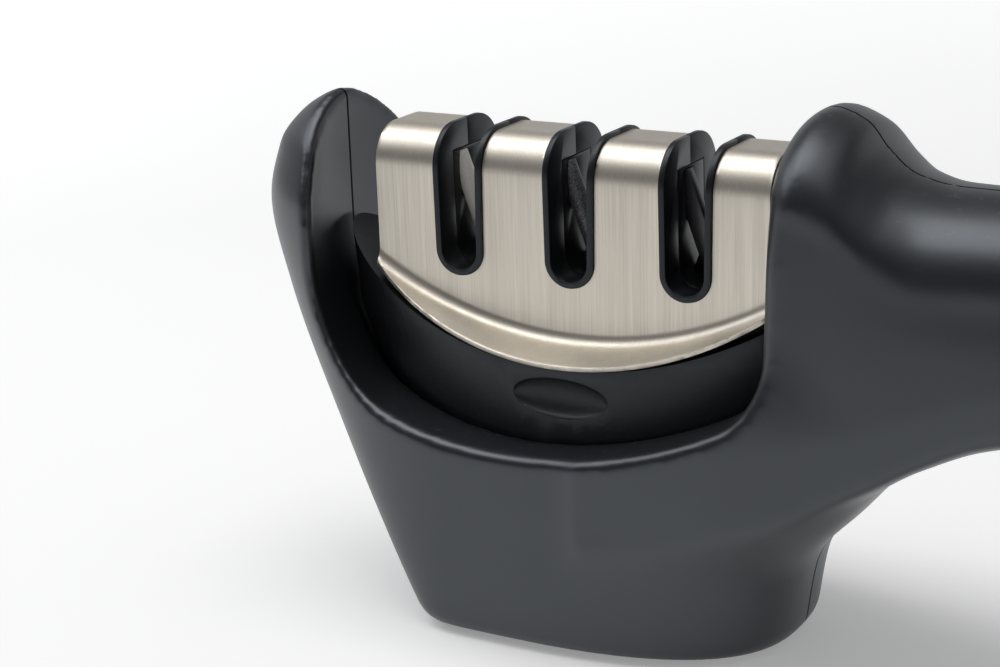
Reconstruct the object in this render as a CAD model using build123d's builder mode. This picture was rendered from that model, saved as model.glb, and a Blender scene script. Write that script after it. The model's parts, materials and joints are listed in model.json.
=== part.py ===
from build123d import *
from math import cos, radians, sin, sqrt, tan
import os

os.makedirs("parts", exist_ok=True)

# Driving dimensions, in millimetres and degrees
# The origin lies on the table below the middle slot, with +X towards the handle and +Z up

# Slots of the head
slot_pitch = 17.0
slot_floor_height = 49.3
slot_width = 5.5
slot_draft_angle = 0.75
rim_wall = 0.85
rim_stand = 0.5

# Brushed steel cover
sheet = 0.6
cover_depth = 16.4
cover_top = 68.3
cover_shoulder = 5.3
cover_bow_reach = 30.2
cover_tail_reach = 28.6
sheet_fit = 0.1

# Flange of the cover, which follows an arc in side view and a lens in plan
flange_reach = 39.0
flange_half_width = 14.4
flange_edge_height = 39.3
sheer_radius = 59.1
bend_radius = 1.9
flange_slope_angle = 15.0
sheer_sweep_angle = 100.0

# Boat-shaped head body
hull_reach = 39.0
hull_half_width = 14.9
hull_datum_height = 54.0
hull_knee_reach = 38.0
hull_knee_half_width = 14.3
hull_knee_height = 41.0
hull_foot_reach = 31.0
hull_foot_half_width = 13.3
hull_wall = 1.8
hull_bottom_height = 23.4
transom_reach = 29.2
scoop_length = 14.5
scoop_width = 5.8
scoop_depth = 1.5
scoop_height = 34.6
scoop_shift = 1.0
floor_thickness = 2.0

# Core of the head, in two halves
core_screw_radius = 1.0
core_screw_head_radius = 1.9
core_screw_head_height = 1.2
core_screw_height = 33.0
core_screw_length = 12.0
screw_fit = 0.05
core_screw_reach = 8.5
core_fit = 0.2
deck_gap = 0.15
core_post_reach = 21.5

# Sharpening stages
element_angle = 20.0
vertex_rise = 4.6
rod_radius = 1.3
plate_width = 2.6
plate_thickness = 1.6
element_gap = 0.1
element_fit = 0.05
element_low_length = 6.0
element_high_length = 11.0
carrier_width = 14.0
carrier_depth = 8.4
carrier_foot = 3.2
carrier_top_drop = 3.4
carrier_fit = 0.1
carrier_round = 0.8

# Cradle cut into the housing between its two towers
ledge_height = 28.3
ledge_radius = 70.0
ledge_centre = -4.5
nose_face_reach = 39.9
nose_face_radius = 39.8
tower_face_reach = 30.0
tower_face_radius = 108.0
nose_corner_radius = 11.5
tower_corner_radius = 5.5
well_gap = 0.5
well_wall = 1.8
seat_gap = 0.2
tower_brow_radius = 4.0

# Housing bowl and nose, as plans stacked from the foot to the nose roof
wall = 2.4
bowl_half_width = 22.5
bowl_height = 72.6
nose_reach = 51.5
bowl_tail = 44.0
crown_reach = 8.0
# Each row holds a height, then the nose reach, half width and tail there, and how full the plan's curves are
bowl_row_shares = (
    (0.0, 0.385, 0.95, 0.705, 0.93, 0.96, 0.62, 0.78),
    (0.16, 0.55, 0.975, 0.745, 0.86, 0.86, 0.64, 0.82),
    (0.36, 0.738, 0.995, 0.98, 0.74, 0.72, 0.7, 0.93),
    (0.63, 0.925, 1.0, 0.98, 0.62, 0.6, 0.68, 0.88),
    (0.79, 0.996, 0.95, 0.85, 0.58, 0.56, 0.6, 0.6),
    (0.885, 0.97, 0.84, 0.6, 0.56, 0.55, 0.55, 0.55),
    (0.945, 0.905, 0.68, 0.4, 0.55, 0.55, 0.55, 0.55),
    (0.98, 0.83, 0.5, 0.2, 0.55, 0.55, 0.55, 0.55),
    (1.0, 0.74, 0.36, 0.1, 0.55, 0.55, 0.55, 0.55),
)
bowl_middle_shares = (0.08, 0.26, 0.5, 0.72, 0.84, 0.92, 0.965, 0.992)

# Rear tower and handle, as sections placed along the length
tower_top = 74.3
handle_end = 158.0
handle_half_width = 15.5
roll_height = 3.4
roll_tuck = 1.1
# Each row holds a place along the handle, then the crown, belly, chine, crease and half width there
handle_row_shares = (
    (0.07, 1.0, 0.2, 0.26, 0.86, 1.2),
    (0.15, 1.0, 0.24, 0.3, 0.855, 1.2),
    (0.21, 1.0, 0.28, 0.335, 0.84, 1.19),
    (0.243, 0.982, 0.315, 0.37, 0.82, 1.15),
    (0.262, 0.925, 0.338, 0.39, 0.8, 1.13),
    (0.285, 0.892, 0.365, 0.415, 0.782, 1.1),
    (0.32, 0.877, 0.41, 0.46, 0.765, 1.05),
    (0.37, 0.876, 0.455, 0.515, 0.765, 0.99),
    (0.45, 0.884, 0.485, 0.56, 0.775, 0.93),
    (0.57, 0.9, 0.475, 0.565, 0.785, 0.95),
    (0.72, 0.896, 0.457, 0.56, 0.78, 0.98),
    (0.84, 0.862, 0.475, 0.565, 0.755, 0.94),
    (0.92, 0.815, 0.51, 0.585, 0.725, 0.82),
    (0.97, 0.768, 0.553, 0.608, 0.692, 0.66),
    (0.99, 0.732, 0.588, 0.626, 0.682, 0.48),
    (1.0, 0.7, 0.62, 0.64, 0.67, 0.3),
)
brow_place_shares = (0.0, 0.08, 0.3, 0.62)
crown_across_share = 0.62
belly_across_share = 0.62

# Foot of the housing
shell_stand = 0.6
foot_plate_thickness = 1.8
foot_fit = 0.3
foot_round = 2.0
foot_rise_shares = (0.3, 0.6, 1.0)
pad_thickness = 1.6
pad_inset = 4.0
ballast_thickness = 6.0
ballast_length = 26.0
ballast_width = 24.0
ballast_centre = 5.5
foot_screw_radius = 1.4
foot_screw_head_radius = 2.6
foot_screw_head_height = 1.2
foot_screw_length = 8.0
foot_screw_fit = 0.05
column_radius = 3.4
column_near_reach = 11.5
column_far_reach = 23.0
column_near_spread = 13.0
column_far_spread = 8.5

# Dowels moulded on the front shell that locate the rear shell
dowel_radius = 1.6
dowel_length = 4.0
dowel_gap = 0.1
dowel_boss_radius = 3.6
dowel_reach_shares = (-0.28, 0.27, 0.5, 0.71, 0.9)
dowel_height_shares = (0.74, 0.68, 0.68, 0.68, 0.68)

# Screws of the head floor
head_screw_radius = 1.1
head_screw_head_radius = 2.0
head_screw_head_height = 1.0
head_screw_length = 7.0
head_screw_reach = 18.5
head_screw_spread = 4.0
head_screw_fit = 0.05

# One overrun serves every cut
overrun = 3.0

# Values worked out from the driving dimensions
cover_half_depth = cover_depth / 2
slot_places = (-slot_pitch, 0, slot_pitch)
sheer_centre = flange_edge_height + sheer_radius
slope = radians(flange_slope_angle)
bend_turn = radians(90 - flange_slope_angle)
bend_start_out = cover_half_depth
bend_end_out = bend_start_out + bend_radius * (1 - cos(bend_turn))
flange_run = flange_half_width - bend_end_out
bend_end_height = flange_edge_height + flange_run * tan(slope)
bend_start_height = bend_end_height + bend_radius * sin(bend_turn)
rim_outer_width = slot_width + 2 * rim_wall
core_half_depth = cover_half_depth - sheet - sheet_fit
core_top = cover_top - sheet - sheet_fit
core_bow_reach = cover_bow_reach - sheet_fit
core_tail_reach = cover_tail_reach - sheet_fit
deck_drum_radius = sheer_radius + sheet
core_shoulder = cover_shoulder - sheet - sheet_fit
vertex_height = slot_floor_height + vertex_rise
carrier_low = slot_floor_height - carrier_foot
carrier_high = cover_top - carrier_top_drop
hull_levels = (hull_datum_height, hull_knee_height, hull_bottom_height)
hull_reaches = (hull_reach, hull_knee_reach, hull_foot_reach)
hull_half_widths = (hull_half_width, hull_knee_half_width, hull_foot_half_width)
rim_bottom = slot_floor_height - rim_wall
head_top = cover_top + rim_stand
head_seat = hull_bottom_height - floor_thickness
deck_opening_low = hull_bottom_height + overrun
scoop_drop = (hull_knee_height - scoop_height) / (hull_knee_height - hull_bottom_height)
scoop_face = hull_knee_half_width - scoop_drop * (hull_knee_half_width - hull_foot_half_width)
well_floor = head_seat - seat_gap
plate_bottom = pad_thickness
plate_top = plate_bottom + foot_plate_thickness
foot_screw_head_top = plate_bottom + foot_screw_head_height
foot_level_shares = tuple(foot_round * share / bowl_height for share in foot_rise_shares)
(
    bowl_height_shares,
    nose_reach_shares,
    bowl_width_shares,
    bowl_tail_shares,
    nose_along_shares,
    nose_across_shares,
    tail_along_shares,
    tail_across_shares,
) = zip(*bowl_row_shares)
(
    handle_place_shares,
    handle_top_shares,
    handle_belly_shares,
    handle_chine_shares,
    handle_crease_shares,
    handle_width_shares,
) = zip(*handle_row_shares)


def slot_outline(width, bottom, top):
    """Face of one slot: a round bottom and straight sides that open slightly upwards."""
    radius = width / 2
    spread = radius + (top - bottom - radius) * tan(radians(slot_draft_angle))
    with BuildSketch(Plane.XZ) as face:
        with BuildLine():
            ThreePointArc((-radius, bottom + radius), (0, bottom), (radius, bottom + radius))
            Polyline((radius, bottom + radius), (spread, top), (-spread, top), (-radius, bottom + radius))
        make_face()
    return face.sketch


def arch(half_depth, top, shoulder, bottom, bow_reach, tail_reach):
    """Solid with a round-shouldered top that runs from the bow end to the tail end of the head."""
    with BuildPart() as solid:
        with BuildSketch(Plane.YZ.offset(-bow_reach)) as face:
            with Locations((0, (top + bottom) / 2)):
                Rectangle(2 * half_depth, top - bottom)
            fillet(face.vertices().group_by(Axis.Y)[-1], radius=shoulder)
        extrude(amount=bow_reach + tail_reach)
    return solid.part


def sheer_drum(radius):
    """Drum across the part whose rim is the long curve that the flange and the deck follow."""
    with BuildPart() as drum:
        with BuildSketch(Plane.XZ):
            with Locations((0, sheer_centre)):
                Circle(radius)
        extrude(amount=2 * flange_half_width, both=True)
    return drum.part


def flange_band(under):
    """Flange section of both sides, from the bend to past its edge, this deep, turned on the sheer."""
    with BuildPart() as band:
        with BuildSketch(Plane.YZ) as face:
            with BuildLine():
                bend_middle = bend_turn / 2
                start = (bend_start_out, bend_start_height)
                middle = (
                    bend_start_out + bend_radius * (1 - cos(bend_middle)),
                    bend_start_height - bend_radius * sin(bend_middle),
                )
                end = (bend_end_out, bend_end_height)
                tip = (bend_end_out + flange_run + overrun, flange_edge_height - overrun * tan(slope))
                low_tip = (tip[0] + under * sin(slope), tip[1] - under)
                low_end = (bend_end_out - under * sin(slope), bend_end_height - under * cos(slope))
                low_start = (bend_start_out - under, bend_start_height)
                low_radius = bend_radius + under
                low_middle = (
                    bend_start_out + bend_radius - low_radius * cos(bend_middle),
                    bend_start_height - low_radius * sin(bend_middle),
                )
                ThreePointArc(start, middle, end)
                Line(end, tip)
                Line(tip, low_tip)
                Line(low_tip, low_end)
                ThreePointArc(low_end, low_middle, low_start)
                Line(low_start, start)
            make_face()
        revolve(axis=Axis((0, 0, sheer_centre), (0, 1, 0)), revolution_arc=sheer_sweep_angle)
    with BuildPart() as both_bands:
        add(band.part.rotate(Axis((0, 0, sheer_centre), (0, 1, 0)), -sheer_sweep_angle / 2))
        mirror(about=Plane.XZ)
    return both_bands.part


def boat(margin, low, high):
    """Boat plan of the hull with its raked bow and square transom, grown by a margin, between two heights."""
    with BuildPart() as solid:
        for level, reach, half_width in zip(hull_levels, hull_reaches, hull_half_widths):
            with BuildSketch(Plane.XY.offset(level)):
                Ellipse(reach + margin, half_width + margin)
        loft(ruled=True)
        with Locations((transom_reach + margin + hull_reach, 0, (low + high) / 2)):
            Box(2 * hull_reach, 4 * hull_half_width, 4 * high, mode=Mode.SUBTRACT)
        with Locations((0, 0, low / 2 - hull_reach)):
            Box(4 * hull_reach, 4 * hull_half_width, low + 2 * hull_reach, mode=Mode.SUBTRACT)
    return solid.part


# Cover: an arch of sheet whose lower edge turns outward into the flange
with BuildPart() as cover_flange:
    add(flange_band(sheet))
    with BuildSketch(Plane.XY):
        Ellipse(flange_reach, flange_half_width)
    extrude(amount=cover_top, mode=Mode.INTERSECT)
    with Locations(((cover_tail_reach - cover_bow_reach) / 2, 0, cover_top / 2)):
        Box(cover_bow_reach + cover_tail_reach, 4 * flange_half_width, 2 * cover_top, mode=Mode.INTERSECT)

with BuildPart() as steel_cover:
    add(arch(cover_half_depth, cover_top, cover_shoulder, 0, cover_bow_reach, cover_tail_reach))
    add(
        arch(
            cover_half_depth - sheet,
            cover_top - sheet,
            cover_shoulder - sheet,
            -overrun,
            cover_bow_reach + overrun,
            cover_tail_reach + overrun,
        ),
        mode=Mode.SUBTRACT,
    )
    add(sheer_drum(sheer_centre - bend_start_height), mode=Mode.INTERSECT)
    add(cover_flange.part)
    for place in slot_places:
        with BuildSketch(Plane.XZ):
            with Locations((place, 0)):
                add(slot_outline(rim_outer_width + 2 * sheet_fit, rim_bottom - sheet_fit, head_top + overrun))
        extrude(amount=cover_depth, both=True, mode=Mode.SUBTRACT)

# Head body: a boat-shaped shell, open below, whose deck follows the underside of the flange
with BuildPart() as hull_cavity:
    add(boat(-hull_wall, hull_bottom_height, hull_datum_height))
    add(sheer_drum(deck_drum_radius + hull_wall), mode=Mode.SUBTRACT)

with BuildPart() as scoop_ball:
    Sphere(scoop_length / 2)
scoop_shape = scale(scoop_ball.part, by=(1, 2 * scoop_depth / scoop_length, scoop_width / scoop_length))

with BuildPart() as head_body:
    add(boat(0, hull_bottom_height, hull_datum_height))
    add(sheer_drum(deck_drum_radius), mode=Mode.SUBTRACT)
    add(hull_cavity.part, mode=Mode.SUBTRACT)
    with BuildSketch(Plane.XY.offset(deck_opening_low)):
        Rectangle(2 * (core_post_reach + core_fit), 2 * (core_half_depth + core_fit))
    extrude(amount=hull_datum_height, mode=Mode.SUBTRACT)
    for side in (-1, 1):
        add(scoop_shape.moved(Location((scoop_shift, side * scoop_face, scoop_height))), mode=Mode.SUBTRACT)

# Head floor: closes the head body from below, screwed into the two core halves
head_screw_spots = [
    (-head_screw_reach, -head_screw_spread),
    (-head_screw_reach, head_screw_spread),
    (head_screw_reach, -head_screw_spread),
    (head_screw_reach, head_screw_spread),
]
with BuildPart() as head_floor:
    with BuildSketch(Plane.XY.offset(head_seat)):
        Ellipse(hull_foot_reach, hull_foot_half_width)
    extrude(amount=floor_thickness)
    with Locations((transom_reach + hull_reach, 0, head_seat)):
        Box(2 * hull_reach, 4 * hull_half_width, 4 * floor_thickness, mode=Mode.SUBTRACT)
    with BuildSketch(Plane.XY.offset(head_seat - overrun)):
        with Locations(*head_screw_spots):
            Circle(head_screw_radius + head_screw_fit)
    extrude(amount=floor_thickness + 2 * overrun, mode=Mode.SUBTRACT)
    with BuildSketch(Plane.XY.offset(head_seat)):
        with Locations(*head_screw_spots):
            Circle(head_screw_head_radius + head_screw_fit)
    extrude(amount=head_screw_head_height, mode=Mode.SUBTRACT)

with BuildPart() as head_screws:
    with BuildSketch(Plane.XY.offset(head_seat)):
        with Locations(*head_screw_spots):
            Circle(head_screw_head_radius)
    extrude(amount=head_screw_head_height)
    with BuildSketch(Plane.XY.offset(head_seat)):
        with Locations(*head_screw_spots):
            Circle(head_screw_radius)
    extrude(amount=head_screw_length)


def stage_box(margin):
    """Block of one stage under its slot, grown by a margin, centred on the mid-plane."""
    height = carrier_high - carrier_low
    with BuildPart() as block:
        with Locations((0, 0, (carrier_high + carrier_low) / 2)):
            Box(carrier_width + 2 * margin, carrier_depth + 2 * margin, height + 2 * margin)
        fillet(block.edges().filter_by(Axis.Z), radius=carrier_round)
    return block.part


def element(side, low_length, high_length, radius, wide, thick):
    """Rod, or plate where it is wide, that leans to one side and passes the mid-plane on that side."""
    lean = radians(element_angle)
    offset = side * (thick / 2 + element_gap / 2)
    low = (-side * low_length * sin(lean), offset, vertex_height - low_length * cos(lean))
    axis = (side * sin(lean), 0, cos(lean))
    with BuildPart() as piece:
        with BuildSketch(Plane(origin=low, x_dir=(0, 1, 0), z_dir=axis)):
            if wide:
                Rectangle(thick, wide)
            else:
                Circle(radius)
        extrude(amount=low_length + high_length)
    return piece.part


def elements(stage, margin):
    """The two crossing elements of a stage, each grown by a margin: rods, or plates in the last stage."""
    pair = []
    for side in (-1, 1):
        wide = (plate_width + 2 * margin) if stage == 3 else 0
        thick = (plate_thickness if stage == 3 else 2 * rod_radius)
        pair.append(
            element(
                side,
                element_low_length + margin,
                element_high_length + margin,
                rod_radius + margin,
                wide,
                thick,
            )
        )
    return pair


# Core: slots and their rims, over a post that passes through the deck and stands on the head floor
with BuildPart() as rims:
    for place in slot_places:
        with BuildSketch(Plane.XZ):
            with Locations((place, 0)):
                add(slot_outline(rim_outer_width, rim_bottom, head_top))
        extrude(amount=cover_depth, both=True)
    add(
        arch(
            cover_half_depth + rim_stand,
            head_top,
            cover_shoulder + rim_stand,
            hull_bottom_height,
            cover_bow_reach,
            cover_tail_reach,
        ),
        mode=Mode.INTERSECT,
    )

with BuildPart() as core_block:
    add(arch(core_half_depth, core_top, core_shoulder, hull_bottom_height, core_bow_reach, core_tail_reach))
    add(sheer_drum(deck_drum_radius - deck_gap), mode=Mode.INTERSECT)
    with BuildSketch(Plane.XY.offset(hull_bottom_height)):
        Rectangle(2 * core_post_reach, 2 * core_half_depth)
    extrude(amount=slot_floor_height - hull_bottom_height)
    add(rims.part)
    for place in slot_places:
        with BuildSketch(Plane.XZ):
            with Locations((place, 0)):
                add(slot_outline(slot_width, slot_floor_height, head_top + overrun))
        extrude(amount=cover_depth, both=True, mode=Mode.SUBTRACT)
        add(stage_box(carrier_fit).moved(Location((place, 0, 0))), mode=Mode.SUBTRACT)
    with BuildSketch(Plane.XZ.offset(core_half_depth)):
        with Locations((-core_screw_reach, core_screw_height), (core_screw_reach, core_screw_height)):
            Circle(core_screw_radius + screw_fit)
    extrude(amount=-core_screw_length, mode=Mode.SUBTRACT)
    with BuildSketch(Plane.XZ.offset(core_half_depth)):
        with Locations((-core_screw_reach, core_screw_height), (core_screw_reach, core_screw_height)):
            Circle(core_screw_head_radius + screw_fit)
    extrude(amount=-core_screw_head_height, mode=Mode.SUBTRACT)
    with BuildSketch(Plane.XY.offset(head_seat)):
        with Locations(*head_screw_spots):
            Circle(head_screw_radius + head_screw_fit)
    extrude(amount=head_screw_length, mode=Mode.SUBTRACT)

with BuildPart() as core_front:
    add(core_block.part)
    split(bisect_by=Plane.XZ, keep=Keep.TOP)

with BuildPart() as core_rear:
    add(core_block.part)
    split(bisect_by=Plane.XZ, keep=Keep.BOTTOM)

with BuildPart() as core_screws:
    with BuildSketch(Plane.XZ.offset(core_half_depth)):
        with Locations((-core_screw_reach, core_screw_height), (core_screw_reach, core_screw_height)):
            Circle(core_screw_head_radius)
    extrude(amount=-core_screw_head_height)
    with BuildSketch(Plane.XZ.offset(core_half_depth)):
        with Locations((-core_screw_reach, core_screw_height), (core_screw_reach, core_screw_height)):
            Circle(core_screw_radius)
    extrude(amount=-core_screw_length)


stage_names = ("stage_1", "stage_2", "stage_3")
for number, (name, place) in enumerate(zip(stage_names, slot_places), start=1):
    with BuildPart() as carrier:
        add(stage_box(0))
        with BuildSketch(Plane.XZ):
            add(slot_outline(slot_width, slot_floor_height, head_top))
        extrude(amount=carrier_depth, both=True, mode=Mode.SUBTRACT)
        for channel in elements(number, element_fit):
            add(channel, mode=Mode.SUBTRACT)
    carrier.part.move(Location((place, 0, 0)))
    carrier.part.label = name + "_carrier"
    export_step(carrier.part, "parts/" + name + "_carrier.step")
    for side_name, piece in zip(("left", "right"), elements(number, 0)):
        with BuildPart() as sharpener:
            add(piece.moved(Location((place, 0, 0))))
        sharpener.part.label = name + "_" + side_name
        export_step(sharpener.part, "parts/" + name + "_" + side_name + ".step")

steel_cover.part.label = "steel_cover"
export_step(steel_cover.part, "parts/steel_cover.step")
head_body.part.label = "head_body"
export_step(head_body.part, "parts/head_body.step")
head_floor.part.label = "head_floor"
export_step(head_floor.part, "parts/head_floor.step")
head_screws.part.label = "head_screws"
export_step(head_screws.part, "parts/head_screws.step")
core_front.part.label = "core_front"
export_step(core_front.part, "parts/core_front.step")
core_rear.part.label = "core_rear"
export_step(core_rear.part, "parts/core_rear.step")
core_screws.part.label = "core_screws"
export_step(core_screws.part, "parts/core_screws.step")


def eased(places, values, place):
    """Value at a place on the smooth curve through a table of places and values."""
    last = len(places) - 2
    index = max(number for number in range(last + 1) if places[number] <= place or number == 0)
    span = places[index + 1] - places[index]
    along = (place - places[index]) / span
    slopes = []
    for number in (index, index + 1):
        before = max(number - 1, 0)
        after = min(number + 1, last + 1)
        slopes.append((values[after] - values[before]) / (places[after] - places[before]) * span)
    rise = along * along * (3 - 2 * along)
    leave = along * (1 - along) * (1 - along)
    arrive = along * along * (along - 1)
    return values[index] + (values[index + 1] - values[index]) * rise + slopes[0] * leave + slopes[1] * arrive


def bowl_plan(level, inset):
    """Front half of the housing's plan at a share of the height: a blunt nose and an egg-shaped tail."""
    reach = nose_reach * eased(bowl_height_shares, nose_reach_shares, level) - inset
    half = bowl_half_width * eased(bowl_height_shares, bowl_width_shares, level) - inset
    tail = bowl_tail * eased(bowl_height_shares, bowl_tail_shares, level) - inset
    nose_along = -crown_reach - eased(bowl_height_shares, nose_along_shares, level) * (reach - crown_reach)
    nose_across = eased(bowl_height_shares, nose_across_shares, level) * half
    tail_along = -crown_reach + eased(bowl_height_shares, tail_along_shares, level) * (tail + crown_reach)
    tail_across = eased(bowl_height_shares, tail_across_shares, level) * half
    with BuildSketch(Plane.XY.offset(bowl_height * level)) as face:
        with BuildLine():
            Line((tail, 0), (-reach, 0))
            Bezier((-reach, 0), (-reach, -nose_across), (nose_along, -half), (-crown_reach, -half))
            Bezier((-crown_reach, -half), (tail_along, -half), (tail, -tail_across), (tail, 0))
        make_face()
    return face.sketch


def foot_tuck(height):
    """How far the rounded edge of the foot lies inside the wall at a height."""
    left = max(foot_round - height, 0)
    return foot_round - sqrt(foot_round**2 - left**2)


def bowl(inset):
    """Front half of the bowl and nose, narrowed by an inset."""
    with BuildPart() as solid:
        for level in sorted(bowl_height_shares + bowl_middle_shares + foot_level_shares):
            add(bowl_plan(level, max(inset, foot_tuck(bowl_height * level))))
        loft(ruled=True)
    return solid.part


def crown_at(place):
    """Height of the crown of the tower and handle, rounded where the tower meets the cradle."""
    crown = tower_top * eased(handle_place_shares, handle_top_shares, place / handle_end)
    ahead = min(max(tower_face_reach + tower_brow_radius - place, 0), tower_brow_radius)
    return crown - tower_brow_radius + sqrt(tower_brow_radius**2 - ahead**2)


def handle_section(place, inset):
    """Front half of a section of the tower or handle: crown, side roll, lower wall and belly."""
    share = place / handle_end
    top = crown_at(place) - inset
    belly = tower_top * eased(handle_place_shares, handle_belly_shares, share) + inset
    chine = tower_top * eased(handle_place_shares, handle_chine_shares, share)
    crease = tower_top * eased(handle_place_shares, handle_crease_shares, share)
    half = handle_half_width * eased(handle_place_shares, handle_width_shares, share) - inset
    widest = crease + min(roll_height, (top - crease) / 2)
    out = -half
    deep = out * (1 - roll_tuck / handle_half_width)
    with BuildSketch(Plane.YZ.offset(place)) as face:
        with BuildLine():
            Line((0, belly), (0, top))
            Bezier((0, top), (out * crown_across_share, top), (out, (top + widest) / 2), (out, widest))
            Bezier((out, widest), (out, (widest + crease) / 2), (deep, (widest + crease) / 2), (deep, crease))
            Bezier((deep, crease), (deep, (crease + chine) / 2), (out, (crease + chine) / 2), (out, chine))
            Bezier((out, chine), (out, (chine + belly) / 2), (out * belly_across_share, belly), (0, belly))
        make_face()
    return face.sketch


def handle(inset):
    """Front half of the rear tower and handle, narrowed by an inset, which ends a section earlier."""
    places = [handle_end * share for share in handle_place_shares]
    brow_places = [tower_face_reach + tower_brow_radius * share for share in brow_place_shares]
    middles = [(near + far) / 2 for near, far in zip(places[2:-2], places[3:-1])]
    if inset:
        places.pop()
    with BuildPart() as solid:
        for place in sorted(places + brow_places + middles):
            add(handle_section(place, inset))
        loft(ruled=True)
    return solid.part


def cradle(margin):
    """Space between the towers above the ledge, grown by a margin, with the corners of the ledge rounded."""
    high = bowl_height + tower_top
    wide = bowl_half_width + overrun
    near = nose_face_radius - sqrt(nose_face_radius**2 - wide**2) - nose_face_reach - margin
    far = tower_face_reach + tower_face_radius - sqrt(tower_face_radius**2 - wide**2) + margin
    with BuildPart() as space:
        with BuildSketch(Plane.XY):
            with BuildLine():
                ThreePointArc((near, -wide), (-nose_face_reach - margin, 0), (near, wide))
                Line((near, wide), (far, wide))
                ThreePointArc((far, wide), (tower_face_reach + margin, 0), (far, -wide))
                Line((far, -wide), (near, -wide))
            make_face()
        extrude(amount=high)
        with BuildSketch(Plane.XZ):
            with Locations((ledge_centre, ledge_height - margin + ledge_radius)):
                Circle(ledge_radius)
            with Locations((ledge_centre, ledge_height - margin + ledge_radius + high)):
                Rectangle(4 * ledge_radius, 2 * high)
        extrude(amount=2 * bowl_half_width, both=True, mode=Mode.INTERSECT)
        ledge_edges = space.faces().sort_by(Axis.Z)[0].edges()
        fillet(ledge_edges.sort_by(Axis.X)[0], radius=nose_corner_radius)
        ledge_edges = space.faces().sort_by(Axis.Z)[0].edges()
        fillet(ledge_edges.sort_by(Axis.X)[-1], radius=tower_corner_radius)
    return space.part


def well_bottom(margin, low):
    """Lowest part of the space that takes the head, from a height up to the underside of the hull."""
    with BuildPart() as space:
        with BuildSketch(Plane.XY.offset(low)):
            Ellipse(hull_foot_reach + margin, hull_foot_half_width + margin)
        extrude(amount=hull_bottom_height - low)
        with Locations((transom_reach + margin + hull_reach, 0, low)):
            Box(2 * hull_reach, 4 * hull_half_width, 4 * hull_bottom_height, mode=Mode.SUBTRACT)
    return space.part


def column_spots():
    """Places of the four screw columns that stand on the foot plate."""
    near = [(-column_near_reach, side * column_near_spread) for side in (-1, 1)]
    far = [(column_far_reach, side * column_far_spread) for side in (-1, 1)]
    return near + far


def columns(radius, low, high):
    """Upright rods at the places of the screw columns, between two heights."""
    with BuildPart() as rods:
        with BuildSketch(Plane.XY.offset(low)):
            with Locations(*column_spots()):
                Circle(radius)
        extrude(amount=high - low)
    return rods.part


def dowels(radius, front, rear):
    """Round pegs across the mid-plane at the dowel places, from a front depth to a rear depth."""
    with BuildPart() as pegs:
        with BuildSketch(Plane.XZ.offset(front)):
            for along_share, height_share in zip(dowel_reach_shares, dowel_height_shares):
                with Locations((handle_end * along_share, tower_top * height_share)):
                    Circle(radius)
        extrude(amount=-(front + rear))
    return pegs.part


# Housing: bowl, towers and handle as one moulded form, with the cradle and the well of the head cut in
with BuildPart() as cavity:
    add(bowl(wall))
    add(handle(wall))
    add(cradle(wall), mode=Mode.SUBTRACT)
    add(boat(well_gap + well_wall, head_seat, hull_datum_height), mode=Mode.SUBTRACT)
    add(well_bottom(well_gap + well_wall, well_floor - well_wall), mode=Mode.SUBTRACT)
    add(columns(column_radius, -overrun, well_floor), mode=Mode.SUBTRACT)
    add(dowels(dowel_boss_radius, bowl_half_width, bowl_half_width), mode=Mode.SUBTRACT)

with BuildPart() as foot_opening:
    with BuildSketch(Plane.XY):
        add(bowl_plan(0, wall))
    extrude(amount=plate_top)

with BuildPart() as housing_half:
    add(bowl(0))
    add(handle(0))
    add(cradle(0), mode=Mode.SUBTRACT)
    add(boat(well_gap, head_seat, hull_datum_height), mode=Mode.SUBTRACT)
    add(well_bottom(well_gap, well_floor), mode=Mode.SUBTRACT)
    add(cavity.part, mode=Mode.SUBTRACT)
    add(foot_opening.part, mode=Mode.SUBTRACT)
    add(columns(foot_screw_radius + foot_screw_fit, 0, plate_bottom + foot_screw_length), mode=Mode.SUBTRACT)
    with Locations((0, 0, shell_stand / 2)):
        Box(4 * bowl_tail, 4 * bowl_half_width, shell_stand, mode=Mode.SUBTRACT)

with BuildPart() as housing_front:
    add(housing_half.part)
    add(dowels(dowel_radius, dowel_length / 2, dowel_length))

with BuildPart() as housing_rear:
    add(mirror(housing_half.part, about=Plane.XZ, mode=Mode.PRIVATE))
    add(dowels(dowel_radius + dowel_gap, overrun, dowel_length + dowel_gap), mode=Mode.SUBTRACT)

# Foot plate, pad and ballast
with BuildPart() as foot_plate:
    with BuildSketch(Plane.XY.offset(plate_bottom)):
        add(bowl_plan(0, wall + foot_fit).moved(Location((0, 0, plate_bottom))))
        mirror(about=Plane.XZ)
    extrude(amount=foot_plate_thickness)
    add(columns(foot_screw_radius + foot_screw_fit, 0, plate_top + overrun), mode=Mode.SUBTRACT)
    add(columns(foot_screw_head_radius + foot_screw_fit, 0, foot_screw_head_top), mode=Mode.SUBTRACT)

with BuildPart() as foot_screws:
    add(columns(foot_screw_radius, plate_bottom, plate_bottom + foot_screw_length))
    add(columns(foot_screw_head_radius, plate_bottom, foot_screw_head_top))

with BuildPart() as nonslip_pad:
    with BuildSketch(Plane.XY):
        add(bowl_plan(0, wall + pad_inset))
        mirror(about=Plane.XZ)
    extrude(amount=pad_thickness)

with BuildPart() as ballast_plate:
    with BuildSketch(Plane.XY.offset(plate_top)):
        with Locations((ballast_centre, 0)):
            Rectangle(ballast_length, ballast_width)
    extrude(amount=ballast_thickness)
    fillet(ballast_plate.edges().filter_by(Axis.Z), radius=column_radius)

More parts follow.
